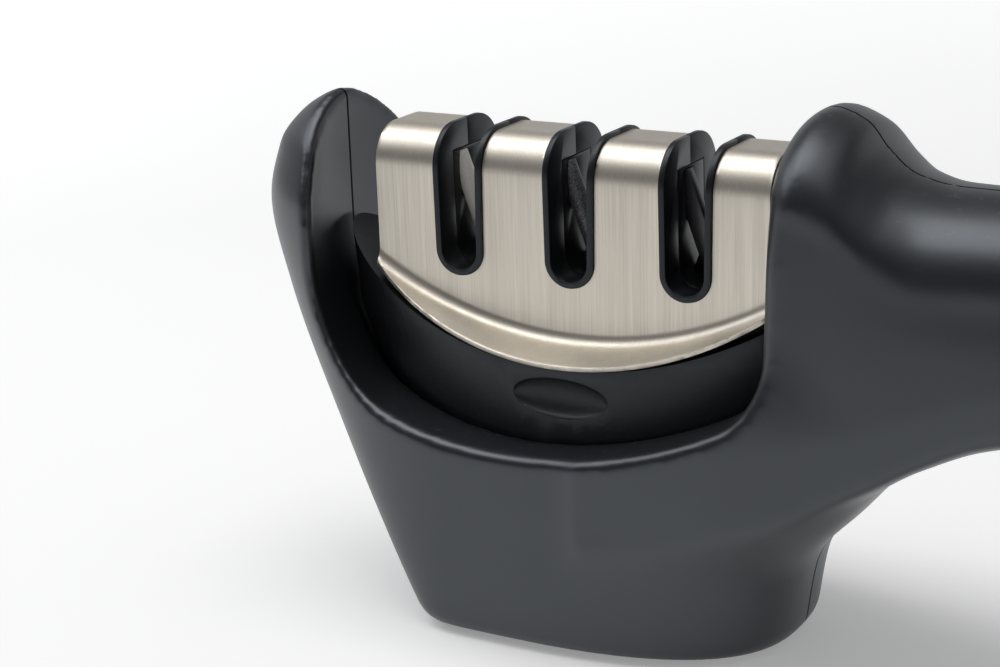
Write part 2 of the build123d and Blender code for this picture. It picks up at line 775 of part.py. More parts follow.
housing_front.part.label = "housing_front"
export_step(housing_front.part, "parts/housing_front.step")
housing_rear.part.label = "housing_rear"
export_step(housing_rear.part, "parts/housing_rear.step")
foot_plate.part.label = "foot_plate"
export_step(foot_plate.part, "parts/foot_plate.step")
foot_screws.part.label = "foot_screws"
export_step(foot_screws.part, "parts/foot_screws.step")
nonslip_pad.part.label = "nonslip_pad"
export_step(nonslip_pad.part, "parts/nonslip_pad.step")
ballast_plate.part.label = "ballast_plate"
export_step(ballast_plate.part, "parts/ballast_plate.step")
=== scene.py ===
# %% [markdown]
# A pull through knife sharpener: a black moulded housing with a long handle, and a steel-clad head of
# three slots that lifts out of a cradle between two towers. The solid model already gives every size.
# Here each piece gets its true soft edges and its finish, and a camera stands where the photographer stood.

# %% Load the solid model as the frame
import bpy
import json
import math
import numpy as np
from mathutils import Matrix, Vector


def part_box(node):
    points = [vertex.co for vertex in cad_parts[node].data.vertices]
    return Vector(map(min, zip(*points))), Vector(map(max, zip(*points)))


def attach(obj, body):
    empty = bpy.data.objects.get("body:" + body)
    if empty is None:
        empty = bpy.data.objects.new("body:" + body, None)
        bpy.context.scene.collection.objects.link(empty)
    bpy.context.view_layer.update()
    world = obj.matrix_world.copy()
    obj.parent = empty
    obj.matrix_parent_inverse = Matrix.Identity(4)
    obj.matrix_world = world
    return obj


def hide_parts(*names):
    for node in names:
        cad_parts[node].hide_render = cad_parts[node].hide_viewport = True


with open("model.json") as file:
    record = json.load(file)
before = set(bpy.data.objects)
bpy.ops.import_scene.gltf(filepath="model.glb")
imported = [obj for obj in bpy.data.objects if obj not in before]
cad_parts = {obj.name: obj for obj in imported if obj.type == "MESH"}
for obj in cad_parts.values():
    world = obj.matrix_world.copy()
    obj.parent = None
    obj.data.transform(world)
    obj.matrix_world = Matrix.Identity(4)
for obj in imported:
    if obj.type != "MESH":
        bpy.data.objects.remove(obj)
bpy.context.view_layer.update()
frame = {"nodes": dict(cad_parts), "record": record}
nodes = frame["nodes"]
record = frame["record"]
MM = 0.001

# %% [markdown]
# Every operator works on whatever is selected, and the loaded nodes come in selected. A few small helpers
# keep that in hand: one leaves nothing selected, one makes a single object the active one, and one selects
# the vertices of the active mesh that a test picks out.

# %% Helpers for selecting
def select_none():
    """Leave nothing selected."""
    for thing in bpy.context.selected_objects:
        thing.select_set(False)


def make_active(piece):
    """Select one object alone and make it the active one."""
    select_none()
    piece.select_set(True)
    bpy.context.view_layer.objects.active = piece
    return piece


def select_vertices(piece, test):
    """In edit mode, select the vertices whose place passes a test."""
    bpy.ops.object.mode_set(mode="OBJECT")
    for vertex in piece.data.vertices:
        vertex.select = bool(test(vertex.co))
    for edge in piece.data.edges:
        edge.select = all(piece.data.vertices[i].select for i in edge.vertices)
    for face in piece.data.polygons:
        face.select = all(piece.data.vertices[i].select for i in face.vertices)
    bpy.ops.object.mode_set(mode="EDIT")


# %% Helpers for finishing a piece
def bake_place(piece):
    """Put the object's place into its mesh, so that the object sits at the origin."""
    make_active(piece)
    bpy.ops.object.transform_apply(location=True, rotation=True, scale=True)
    return piece


def apply_modifier(piece, kind, **settings):
    """Add a modifier, give it its settings and apply it."""
    make_active(piece)
    modifier = piece.modifiers.new(kind.lower(), kind)
    for name, value in settings.items():
        setattr(modifier, name, value)
    bpy.ops.object.modifier_apply(modifier=modifier.name)
    return piece


def cut_away(piece, cutter):
    """Cut one shape out of a piece and delete the cutter."""
    apply_modifier(piece, "BOOLEAN", object=cutter, operation="DIFFERENCE", solver="EXACT")
    bpy.data.objects.remove(cutter)
    return piece


def soften_edges(piece, width, angle=35, segments=2):
    """Round the sharp edges of a piece a little and shade the rest smooth."""
    apply_modifier(piece, "BEVEL", width=width, segments=segments, limit_method="ANGLE",
                   angle_limit=math.radians(angle), harden_normals=False)
    make_active(piece)
    bpy.ops.object.shade_smooth_by_angle(angle=math.radians(angle))
    return piece


def seat(piece, body, slot, *replaced):
    """Hand a finished piece to its body and hide the nodes it stands for. The slot is not used."""
    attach(piece, body)
    if replaced:
        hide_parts(*replaced)
    print(piece.name, "triangles", sum(len(face.vertices) - 2 for face in piece.data.polygons))
    return piece


# %% [markdown]
# The camera stands in front of the nose end, a little above the head, and leans by two degrees. Its place
# was fitted to straight and round edges of the object, so it is written as a target, two angles, a roll and
# a distance. A long lens keeps the head from looking stretched.

# %% Camera
camera_target = Vector((-15.803, 0, 37.641)) * MM
camera_distance = 291.405 * MM
camera_azimuth = math.radians(29.684)
camera_elevation = math.radians(17.429)
camera_roll = math.radians(-1.819)
lens_length = 73.16
sensor_width = 36.0

back = Vector((math.sin(camera_azimuth) * math.cos(camera_elevation),
               -math.cos(camera_azimuth) * math.cos(camera_elevation),
               math.sin(camera_elevation)))
level_right = Vector((math.cos(camera_azimuth), math.sin(camera_azimuth), 0))
level_up = back.cross(level_right)
right = math.cos(camera_roll) * level_right + math.sin(camera_roll) * level_up
up = math.cos(camera_roll) * level_up - math.sin(camera_roll) * level_right
turn = Matrix((right, up, back)).transposed()
select_none()
bpy.ops.object.camera_add(location=camera_target + back * camera_distance, rotation=turn.to_euler())
camera = bpy.context.object
camera.data.lens = lens_length
camera.data.sensor_width = sensor_width
camera.data.clip_start = 10 * MM
bpy.context.scene.camera = camera
bpy.context.scene.view_settings.view_transform = "Standard"
print("camera at", [round(x, 4) for x in camera.location])


# %% [markdown]
# Materials are trees of nodes. One helper adds any node with its settings, and a short one stands for each
# kind that comes back often. Effects that several finishes share are built once as node groups with named
# sockets: the grain of a moulded surface, the fine lines of a brushed one, the bright wear of edges, and
# settled dust.

# %% Helpers for node trees
def add_node(tree, kind, inputs=None, **settings):
    """Add a node, with its settings and the values of its input sockets."""
    node = tree.nodes.new(kind)
    for name, value in settings.items():
        setattr(node, name, value)
    for name, value in (inputs or {}).items():
        if isinstance(value, bpy.types.NodeSocket):
            tree.links.new(value, node.inputs[name])
        else:
            node.inputs[name].default_value = value
    return node


def noise(tree, place, scale, detail, roughness=0.5):
    """Cloudy values between 0 and 1 that change with the place."""
    return add_node(tree, "ShaderNodeTexNoise", {
        "Vector": place, "Scale": scale, "Detail": detail, "Roughness": roughness}).outputs["Fac"]


def remap(tree, value, low, high, to_low=0.0, to_high=1.0):
    """Stretch a value from one range to another and hold it at the ends."""
    return add_node(tree, "ShaderNodeMapRange", {
        "Value": value, "From Min": low, "From Max": high,
        "To Min": to_low, "To Max": to_high}).outputs["Result"]


def times(tree, first, second):
    """Multiply two values."""
    return add_node(tree, "ShaderNodeMath", {0: first, 1: second}, operation="MULTIPLY").outputs[0]


def blend(tree, share, first, second):
    """Mix two values by the share of the second."""
    return add_node(tree, "ShaderNodeMix", {"Factor": share, "A": first, "B": second}).outputs["Result"]


def blend_colours(tree, share, first, second):
    """Mix two colours by the share of the second. Sockets 6, 7 and 2 are the ones for colours."""
    return add_node(tree, "ShaderNodeMix", {0: share, 6: first, 7: second}, data_type="RGBA").outputs[2]


# %% Helper for node groups
def new_group(name, takes, gives):
    """Open a node group with named input and output sockets, and return its tree and its two ends."""
    tree = bpy.data.node_groups.new(name, "ShaderNodeTree")
    for socket, (kind, value) in takes.items():
        made = tree.interface.new_socket(socket, in_out="INPUT", socket_type=kind)
        if value is not None:
            made.default_value = value
    for socket, kind in gives.items():
        tree.interface.new_socket(socket, in_out="OUTPUT", socket_type=kind)
    return tree, tree.nodes.new("NodeGroupInput").outputs, tree.nodes.new("NodeGroupOutput").inputs


FLOAT = "NodeSocketFloat"
VECTOR = "NodeSocketVector"


# %% Group: the grain of a moulded surface
grain, takes, gives = new_group(
    "moulded grain",
    {"Vector": (VECTOR, None), "Grains per metre": (FLOAT, 1500.0), "Cloud": (FLOAT, 60.0)},
    {"Height": FLOAT, "Shade": FLOAT},
)
pebble = noise(grain, takes["Vector"], takes["Grains per metre"], 2.0, 0.6)
cloud = noise(grain, takes["Vector"], takes["Cloud"], 3.0)
grain.links.new(pebble, gives["Height"])
grain.links.new(cloud, gives["Shade"])

# %% Group: the fine lines of a brushed surface
brushing, takes, gives = new_group(
    "brushed lines",
    {"Vector": (VECTOR, None), "Lines per metre": (FLOAT, 4000.0)},
    {"Streak": FLOAT},
)
line_stretch = (1.0, 1.0, 0.012)
broad_scale = 0.12
broad_share = 0.3
drawn = add_node(brushing, "ShaderNodeVectorMath", {
    0: takes["Vector"], 1: line_stretch}, operation="MULTIPLY").outputs["Vector"]
fine = noise(brushing, drawn, takes["Lines per metre"], 3.0, 0.7)
broad = noise(brushing, drawn, times(brushing, takes["Lines per metre"], broad_scale), 2.0)
brushing.links.new(blend(brushing, broad_share, fine, broad), gives["Streak"])

# %% Group: wear where edges stand out
wear, takes, gives = new_group(
    "edge wear",
    {"Vector": (VECTOR, None), "From": (FLOAT, 0.52), "To": (FLOAT, 0.62)},
    {"Mask": FLOAT},
)
patches_per_metre = 300.0
edge = add_node(wear, "ShaderNodeNewGeometry").outputs["Pointiness"]
standing_out = remap(wear, edge, takes["From"], takes["To"])
patches = noise(wear, takes["Vector"], patches_per_metre, 4.0)
wear.links.new(times(wear, standing_out, patches), gives["Mask"])

# %% Group: dust that settles on what faces up
dust, takes, gives = new_group(
    "settled dust",
    {"Vector": (VECTOR, None), "Specks per metre": (FLOAT, 900.0)},
    {"Mask": FLOAT},
)
least_upward = 0.3
speck_levels = (0.62, 0.8)
normal = add_node(dust, "ShaderNodeNewGeometry").outputs["Normal"]
facing = add_node(dust, "ShaderNodeSeparateXYZ", {"Vector": normal}).outputs["Z"]
upward = remap(dust, facing, least_upward, 1.0)
specks = noise(dust, takes["Vector"], takes["Specks per metre"], 3.0)
dust.links.new(times(dust, upward, remap(dust, specks, *speck_levels)), gives["Mask"])


# %% A new material with its shader and the object's own coordinates
def new_material(name):
    """Open a material and return it, its tree, its shader and the object's coordinates."""
    material = bpy.data.materials.new(name)
    material.use_nodes = True
    tree = material.node_tree
    shader = tree.nodes["Principled BSDF"]
    place = add_node(tree, "ShaderNodeTexCoord").outputs["Object"]
    return material, tree, shader, place


def use_group(tree, group, inputs):
    """Place a node group in a material with its own values."""
    return add_node(tree, "ShaderNodeGroup", inputs, node_tree=group).outputs


def raise_surface(tree, shader, height, depth, strength):
    """Let a height stand out of the surface by a depth."""
    bump = add_node(tree, "ShaderNodeBump", {"Strength": strength, "Distance": depth, "Height": height})
    tree.links.new(bump.outputs["Normal"], shader.inputs["Normal"])


# %% [markdown]
# All the black pieces are one family: a dyed plastic whose look is in its gloss. The housing is satin, with
# a very fine spark-eroded grain, the head body is coarser and duller, and the core is smooth from wear.
# One function makes them, so that each finish is a line of values.

# %% Black moulded plastics
cool_gloss = (0.86, 0.92, 1.0, 1)
dust_colour = (0.2, 0.195, 0.19, 1)
wear_gain = 2.2
wear_lift = 0.01
cloud_levels = (0.3, 0.7)


def moulded_plastic(name, colour, roughness, shine, grains, depth, dust_amount=0.25):
    """Dyed plastic with a fine grain, a cloudy gloss, polished edges and a little dust."""
    material, tree, shader, place = new_material(name)
    shader.inputs["Specular IOR Level"].default_value = shine
    shader.inputs["Specular Tint"].default_value = cool_gloss
    skin = use_group(tree, grain, {"Vector": place, "Grains per metre": grains})
    edges = use_group(tree, wear, {"Vector": place})
    specks = use_group(tree, dust, {"Vector": place})
    bright = [min(1.0, part * wear_gain + wear_lift) for part in colour[:3]] + [1.0]
    worn = blend_colours(tree, edges["Mask"], colour, bright)
    dusted = blend_colours(tree, times(tree, specks["Mask"], dust_amount), worn, dust_colour)
    gloss = remap(tree, skin["Shade"], *cloud_levels, roughness - 0.03, roughness + 0.04)
    tree.links.new(dusted, shader.inputs["Base Color"])
    tree.links.new(gloss, shader.inputs["Roughness"])
    raise_surface(tree, shader, skin["Height"], depth, 0.5)
    return material


# Name, colour, roughness, strength of the gloss, grains per metre, their depth and the dust
materials = {
    "housing_plastic": moulded_plastic(
        "satin black plastic", (0.009, 0.01, 0.0125, 1), 0.34, 1.0, 2600.0, 0.012 * MM),
    "head_plastic": moulded_plastic(
        "matt black plastic", (0.009, 0.0095, 0.011, 1), 0.45, 0.6, 2200.0, 0.05 * MM),
    "core_plastic": moulded_plastic(
        "worn black plastic", (0.006, 0.0065, 0.008, 1), 0.36, 0.45, 3000.0, 0.015 * MM),
    "foot_plastic": moulded_plastic(
        "foot plastic", (0.015, 0.015, 0.016, 1), 0.6, 0.5, 1800.0, 0.05 * MM, 0.1),
    "pad_rubber": moulded_plastic(
        "foot rubber", (0.025, 0.025, 0.026, 1), 0.82, 0.3, 1400.0, 0.08 * MM, 0.4),
}
print("plastics", len(materials))


# %% [markdown]
# The cover is stainless sheet brushed up and down before it was bent, so the lines run over the shoulder
# and out onto the flange. The lines are a noise stretched along the height: it darkens, roughens and
# scratches the metal together, which is what makes brushed steel look drawn and not painted.

# %% Metals
cloud_share = 0.35
streak_levels = (0.35, 0.65)


def brushed_metal(name, colour, dark, roughness, lines, depth):
    """Metal with fine lines in its colour, its gloss and its surface."""
    material, tree, shader, place = new_material(name)
    shader.inputs["Metallic"].default_value = 1.0
    lined = use_group(tree, brushing, {"Vector": place, "Lines per metre": lines})
    cloudy = use_group(tree, grain, {"Vector": place, "Grains per metre": 900.0, "Cloud": 45.0})
    tone = blend_colours(tree, remap(tree, lined["Streak"], *streak_levels), dark, colour)
    both = blend(tree, cloud_share, lined["Streak"], cloudy["Shade"])
    gloss = remap(tree, both, *cloud_levels, roughness + 0.08, roughness - 0.06)
    tree.links.new(tone, shader.inputs["Base Color"])
    tree.links.new(gloss, shader.inputs["Roughness"])
    raise_surface(tree, shader, lined["Streak"], depth, 0.6)
    return material


# Name, colour, colour between the lines, roughness, lines per metre and their depth
materials["cover_steel"] = brushed_metal(
    "brushed steel", (0.74, 0.69, 0.605, 1), (0.62, 0.575, 0.5, 1), 0.4, 5200.0, 0.01 * MM)
materials["screw_steel"] = brushed_metal(
    "screw steel", (0.62, 0.62, 0.63, 1), (0.5, 0.5, 0.51, 1), 0.28, 2500.0, 0.005 * MM)
materials["ballast_steel"] = brushed_metal(
    "ballast steel", (0.3, 0.3, 0.31, 1), (0.22, 0.22, 0.23, 1), 0.5, 1500.0, 0.03 * MM)


# %% [markdown]
# The sharpening elements differ by stage: ceramic rods finish the edge, diamond rods grind it, and carbide
# plates cut it. Grit and ceramic are both a surface of small grains; carbide is ground, so it has lines.

# %% Stones and carbide
grain_levels = (0.4, 0.6)


def gritty(name, colour, other, roughness, metallic, grains, depth):
    """Hard surface of small grains in two tones."""
    material, tree, shader, place = new_material(name)
    shader.inputs["Metallic"].default_value = metallic
    skin = use_group(tree, grain, {"Vector": place, "Grains per metre": grains, "Cloud": 400.0})
    tone = blend_colours(tree, remap(tree, skin["Height"], *grain_levels), colour, other)
    gloss = remap(tree, skin["Height"], 0.0, 1.0, roughness - 0.1, roughness + 0.1)
    tree.links.new(tone, shader.inputs["Base Color"])
    tree.links.new(gloss, shader.inputs["Roughness"])
    raise_surface(tree, shader, skin["Height"], depth, 0.7)
    return material


# Name, colour, colour of the other grains, roughness, how metallic, grains per metre and their depth
materials["ceramic_white"] = gritty(
    "ceramic", (0.78, 0.76, 0.7, 1), (0.86, 0.85, 0.8, 1), 0.5, 0.0, 5000.0, 0.01 * MM)
materials["diamond_grit"] = gritty(
    "diamond grit", (0.05, 0.05, 0.055, 1), (0.28, 0.28, 0.3, 1), 0.45, 0.5, 7000.0, 0.04 * MM)
materials["carbide_grey"] = brushed_metal(
    "ground carbide", (0.15, 0.15, 0.155, 1), (0.08, 0.08, 0.085, 1), 0.36, 5000.0, 0.01 * MM)

# %% Every carried-over node takes the finish of its slot
def dress(piece, slot):
    """Give a piece the finish of its material slot."""
    piece.data.materials.clear()
    piece.data.materials.append(materials[slot])


slot_of = {part["node"]: part["material_slot"] for part in record["subparts"]}
for name, piece in nodes.items():
    dress(piece, slot_of[name])
print("slots", sorted(set(slot_of.values())))


# %% [markdown]
# The housing is the hardest piece: a bowl, two towers and a drawn-out handle melt into each other, with a
# cradle scooped from the middle. Boxes and bevels would leave dents where the forms meet, and a subdivision
# cage would need hundreds of hand-set points. So this one piece is made in mesh code from distances: each
# form is a field of numbers that is negative inside, joining is a soft minimum, cutting is a rounded
# maximum, and the skin is drawn where the number is zero.

# %% Housing: its driving rows, in millimetres
# Height, nose reach, half width, tail reach, and how square the nose and tail of the plan are
bowl_rows = np.array((
    (0.0, 19.8, 21.4, 31.0, 5.0, 2.6),
    (11.6, 28.3, 21.7, 32.8, 3.6, 2.7),
    (26.1, 38.0, 21.8, 41.0, 2.7, 3.2),
    (45.7, 47.6, 21.9, 41.0, 2.35, 2.8),
    (57.4, 51.3, 21.4, 36.0, 2.1, 2.2),
    (64.3, 50.0, 18.9, 26.0, 2.0, 2.0),
    (68.6, 46.6, 15.3, 17.0, 2.0, 2.0),
    (71.1, 42.7, 11.3, 9.0, 2.0, 2.0),
    (72.6, 38.1, 8.1, 4.0, 2.0, 2.0),
    (76.0, 20.0, 2.0, 1.0, 2.0, 2.0),
))
# Place along the handle as a share of its end, then crown, belly, chine, crease and half width as shares
handle_rows = np.array((
    (0.07, 1.0, 0.2, 0.26, 0.86, 1.2),
    (0.15, 1.0, 0.24, 0.3, 0.855, 1.2),
    (0.21, 1.0, 0.28, 0.335, 0.84, 1.19),
    (0.243, 0.977, 0.315, 0.37, 0.82, 1.15),
    (0.262, 0.93, 0.338, 0.39, 0.8, 1.13),
    (0.285, 0.892, 0.365, 0.415, 0.782, 1.1),
    (0.32, 0.877, 0.41, 0.46, 0.765, 1.05),
    (0.37, 0.876, 0.455, 0.515, 0.765, 0.99),
    (0.45, 0.884, 0.485, 0.56, 0.775, 0.93),
    (0.57, 0.9, 0.475, 0.565, 0.785, 0.95),
    (0.72, 0.896, 0.457, 0.56, 0.78, 0.98),
    (0.84, 0.862, 0.475, 0.565, 0.755, 0.94),
    (0.92, 0.815, 0.51, 0.585, 0.725, 0.82),
    (0.97, 0.76, 0.56, 0.61, 0.69, 0.62),
    (1.0, 0.7, 0.62, 0.64, 0.67, 0.3),
))
print("housing rows", len(bowl_rows), len(handle_rows))


# %% Housing: a smooth curve through a row of values
def curve(at, places, values):
    """Smooth curve through the values that never overshoots them."""
    at = np.clip(at, places[0], places[-1])
    steps = np.diff(values) / np.diff(places)
    lean = np.concatenate((steps[:1], np.zeros(len(values) - 2), steps[-1:]))
    same = steps[:-1] * steps[1:] > 0
    lean[1:-1][same] = (2 * steps[:-1] * steps[1:])[same] / (steps[:-1] + steps[1:])[same]
    span = np.clip(np.searchsorted(places, at) - 1, 0, len(places) - 2)
    width = places[span + 1] - places[span]
    t = (at - places[span]) / width
    level = values[span] * (1 + 2 * t) * (1 - t) ** 2 + values[span + 1] * t * t * (3 - 2 * t)
    return level + width * t * (1 - t) * (lean[span] * (1 - t) - lean[span + 1] * t)


# %% Housing: joining and cutting fields
least_slope = 5.0


def as_distance(field, step):
    """A field divided by its own slope, which is close to a distance near its skin."""
    slope = np.sqrt(sum(part * part for part in np.gradient(field, step)))
    return field / np.maximum(slope, least_slope)


def rounded_both(a, b, radius):
    """What lies in both solids, with their shared edge rounded."""
    u = np.maximum(a + radius, 0)
    v = np.maximum(b + radius, 0)
    return np.minimum(np.maximum(a, b), -radius) + np.sqrt(u * u + v * v)


def melted(a, b, reach):
    """What lies in either solid, melted into each other over a reach."""
    near = np.maximum(reach - np.abs(a - b), 0) / reach
    return np.minimum(a, b) - near ** 3 * reach / 6


def ease(x, low, high):
    """From 0 at the low value to 1 at the high one, without a corner."""
    t = np.clip((x - low) / (high - low), 0, 1)
    return t * t * (3 - 2 * t)


# %% Housing: the bowl with its nose tower
crown_reach = 8.0 * MM


def bowl_field(x, y, z, step):
    """The bowl: a plan that is square at the nose and round at the tail, and changes with height."""
    rows = [curve(z, bowl_rows[:, 0] * MM, column)[None, None, :] for column in bowl_rows[:, 1:].T]
    reach, half, tail = (row * MM for row in rows[:3])
    x = x[:, None, None]
    y = y[None, :, None]
    ahead = x < -crown_reach
    to_nose = (-crown_reach - x) / (reach - crown_reach)
    to_tail = (x + crown_reach) / (tail + crown_reach)
    along = np.where(ahead, to_nose, to_tail)
    power = np.where(ahead, rows[3], rows[4])
    ring = (along ** power + (np.abs(y) / half) ** power) ** (1 / power) - 1
    return as_distance(ring, step)


# %% Housing: the rear tower drawn out into the handle
handle_start = 10 * MM
handle_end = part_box("housing_front")[1].x
handle_end_round = 6 * MM
handle_half_width = 15.5 * MM
tower_top = 74.3 * MM
# How far above the crease the side is widest, on the tower and on the handle, and where this changes
tower_roll = 1.5 * MM
handle_roll = -2.0 * MM
roll_change = (36 * MM, 52 * MM)
# The soft hollow below the roll: its depth, its drop below the crease, its spread, and where it fades in
roll_tuck = 0.25 * MM
roll_tuck_drop = 3.0 * MM
roll_tuck_spread = 3.5 * MM
tuck_change = (38 * MM, 60 * MM)
flank_lean = 0.08


def handle_field(x, y, z, step):
    """The tower and handle: a crowned top, a roll along the side with a crease below it, and a belly."""
    places = handle_rows[:, 0] * handle_end
    tops = [curve(x, places, column * tower_top)[:, None, None] for column in handle_rows[:, 1:5].T]
    crown, belly, chine, crease = tops
    width = curve(x, places, handle_rows[:, 5] * handle_half_width)[:, None, None]
    z = z[None, None, :]
    along = ease(x, *roll_change)[:, None, None]
    widest = crease + np.minimum(tower_roll + (handle_roll - tower_roll) * along, (crown - crease) / 2)
    lean = flank_lean * np.clip((chine + crease) / 2 - z, (chine - crease) / 2, (crease - chine) / 4)
    hollow = np.exp(-((z - crease + roll_tuck_drop) / roll_tuck_spread) ** 2)
    tuck = roll_tuck * ease(x, *tuck_change)[:, None, None] * hollow - lean
    rise = np.maximum(z - widest, 0) / (crown - widest)
    fall = np.maximum(chine - z, 0) / (chine - belly)
    ring = np.sqrt((y[None, :, None] / (width - tuck)) ** 2 + np.maximum(rise, fall) ** 2) - 1
    solid = rounded_both(as_distance(ring, step), x[:, None, None] - handle_end, handle_end_round)
    return np.maximum(solid, handle_start - x[:, None, None])


# %% Housing: the cradle that takes the head
nose_face_reach = 39.9 * MM
tower_face_reach = 30.0 * MM
ledge_centre = -4.5 * MM
ledge_radius = 70.0 * MM
ledge_height = 28.3 * MM
nose_corner = 11.5 * MM
tower_corner = 5.5 * MM
# The two faces bow by these depths over this half width
nose_face_bow = 4.3 * MM
tower_face_bow = 1.5 * MM
bow_half_width = 18 * MM


def cradle_field(x, y, z):
    """Space between the towers, above a long arc, with its two lower corners rounded."""
    bow = (y / bow_half_width) ** 2
    nose_face = nose_face_bow * bow - nose_face_reach
    tower_face = tower_face_bow * bow + tower_face_reach
    middle = ledge_height + ledge_radius
    arc = np.sqrt((x - ledge_centre) ** 2 + (np.minimum(z, middle) - middle) ** 2) - ledge_radius
    return rounded_both(rounded_both(arc, nose_face - x, nose_corner), x - tower_face, tower_corner)


# %% Housing: the well below the cradle
well_levels = (23.4 * MM, 41.0 * MM, 54.0 * MM)
well_reaches = (31.5 * MM, 38.5 * MM, 39.5 * MM)
well_half_widths = (13.8 * MM, 14.8 * MM, 15.4 * MM)
well_tail = 29.7 * MM
well_floor = 21.2 * MM


def well_field(x, y, z, step):
    """A hollow, oval in plan, that narrows towards its floor and stops flat at the rear tower."""
    reach = np.interp(z, well_levels, well_reaches)[None, None, :]
    half = np.interp(z, well_levels, well_half_widths)[None, None, :]
    x = x[:, None, None]
    ring = np.sqrt((x / reach) ** 2 + (y[None, :, None] / half) ** 2) - 1
    oval = np.maximum(as_distance(ring, step), x - well_tail)
    return np.maximum(oval, well_floor - z[None, None, :])


# %% Housing: the whole front half as one field
grid_low = (-54.0 * MM, -24.0 * MM, -1.2 * MM)
grid_high = (handle_end + 2.5 * MM, 1.8 * MM, 77.0 * MM)
bowl_top = 73.0 * MM
# The bowl melts into the tower over a long reach low down and a short one high up
melt_reach = 10.0 * MM
high_melt_reach = 2.5 * MM
melt_change = (35 * MM, 52 * MM)
# The cradle's rim is rounded more high up, and most over the face of the rear tower
rim_round = 1.1 * MM
high_rim_extra = 0.6 * MM
rim_change = (36 * MM, 44 * MM)
brow_round = 3.1 * MM
brow_heights = (55 * MM, 72 * MM)
brow_places = (15 * MM, 30 * MM)
well_round = 0.4 * MM
# The foot stands off the table, and is open below for its plate
foot_lift = 0.6 * MM
foot_round = 2.2 * MM
foot_wall = 2.4 * MM
foot_opening_top = 3.4 * MM


def housing_field(step):
    """Field of the housing on a grid that runs just past the mid-plane."""
    xs, ys, zs = (np.arange(low, high, step) for low, high in zip(grid_low, grid_high))
    x = xs[:, None, None]
    z = zs[None, None, :]
    bowl = np.maximum(bowl_field(xs, ys, zs, step), z - bowl_top)
    reach = melt_reach - (melt_reach - high_melt_reach) * ease(z, *melt_change)
    outer = melted(bowl, handle_field(xs, ys, zs, step), reach)
    brow = brow_round * ease(z, *brow_heights) * ease(x, *brow_places)
    rim = rim_round + brow + high_rim_extra * ease(z, *rim_change)
    solid = rounded_both(outer, -cradle_field(x, ys[None, :, None], z), rim)
    solid = rounded_both(solid, -well_field(xs, ys, zs, step), well_round)
    solid = rounded_both(solid, foot_lift - z, foot_round)
    opening = np.maximum(bowl + foot_wall, z - foot_opening_top)
    return np.maximum(solid, -opening), xs, ys, zs


# %% [markdown]
# To draw the skin, every grid cell that the skin passes through gets one point, at the mean of the places
# where the field changes sign along the cell's edges. Four such cells around a crossed edge make a face.
# Then each point slides along the slope of the field until it lies on the skin.

# %% Housing: one point for each crossed cell
def skin_points(field):
    """Cells that the skin crosses, numbered, with a point inside each, in grid steps."""
    total = np.zeros((*np.subtract(field.shape, 1), 3))
    count = np.zeros(total.shape[:3])
    for axis in range(3):
        low = np.take(field, range(field.shape[axis] - 1), axis)
        high = np.take(field, range(1, field.shape[axis]), axis)
        crossed = (low < 0) != (high < 0)
        where = np.where(crossed, low / np.where(crossed, low - high, 1), 0)
        first, second = [other for other in range(3) if other != axis]
        for i in (0, 1):
            for j in (0, 1):
                cut = [slice(None)] * 3
                cut[first] = slice(i, i - 1 if i == 0 else None)
                cut[second] = slice(j, j - 1 if j == 0 else None)
                hit = crossed[tuple(cut)]
                count += hit
                total[..., axis] += where[tuple(cut)]
                total[..., first] += hit * i
                total[..., second] += hit * j
    used = count > 0
    number = np.where(used, np.cumsum(used).reshape(used.shape) - 1, -1)
    return np.argwhere(used) + total[used] / count[used][:, None], number


# %% Housing: a face around each crossed edge
def skin_faces(field, number):
    """Faces of the skin, wound so that they look outwards."""
    faces = []
    for axis in range(3):
        low = np.take(field < 0, range(field.shape[axis] - 1), axis)
        high = np.take(field < 0, range(1, field.shape[axis]), axis)
        spots = np.argwhere(low != high)
        first, second = [other for other in range(3) if other != axis]
        for other in (first, second):
            spots = spots[(spots[:, other] > 0) & (spots[:, other] < field.shape[other] - 1)]
        corners = []
        for i, j in ((-1, -1), (0, -1), (0, 0), (-1, 0)):
            cell = spots.copy()
            cell[:, first] += i
            cell[:, second] += j
            corners.append(number[tuple(cell.T)])
        face = np.stack(corners, 1)
        outward = low[tuple(spots.T)] ^ (axis == 1)
        face[~outward] = face[~outward][:, ::-1]
        faces.append(face)
    return np.concatenate(faces)


# %% Housing: slide the points onto the skin
least_square = 0.05


def settle_points(points, field, origin, step, rounds=3):
    """Move points along the slope of the field until they lie where it is zero."""
    slopes = np.gradient(field, step)
    longest = step / 3
    for _ in range(rounds):
        place = (points - origin) / step
        low = np.clip(np.floor(place).astype(int), 0, np.array(field.shape) - 2)
        part = place - low
        level = 0
        slope = np.zeros_like(points)
        for corner in np.ndindex(2, 2, 2):
            weight = np.prod(np.where(corner, part, 1 - part), axis=1)
            at = tuple((low + corner).T)
            level = level + weight * field[at]
            slope += weight[:, None] * np.stack([each[at] for each in slopes], 1)
        size = np.maximum((slope ** 2).sum(1), least_square)
        points = points - slope * (np.clip(level, -longest, longest) / size)[:, None]
    return points


# %% Housing: spread the points evenly
def spread_points(points, faces):
    """Move each point to the mean of the middles of its faces, which evens out their spacing."""
    middles = points[faces].mean(1)
    total = np.zeros_like(points)
    count = np.zeros(len(points))
    for corner in faces.T:
        np.add.at(total, corner, middles)
        np.add.at(count, corner, 1)
    return total / count[:, None]


# %% Housing: the front shell, parted at the mid-plane
housing_step = 0.56 * MM
spread_rounds = 3
seam_gap = 0.12 * MM
seam_round = 0.26 * MM

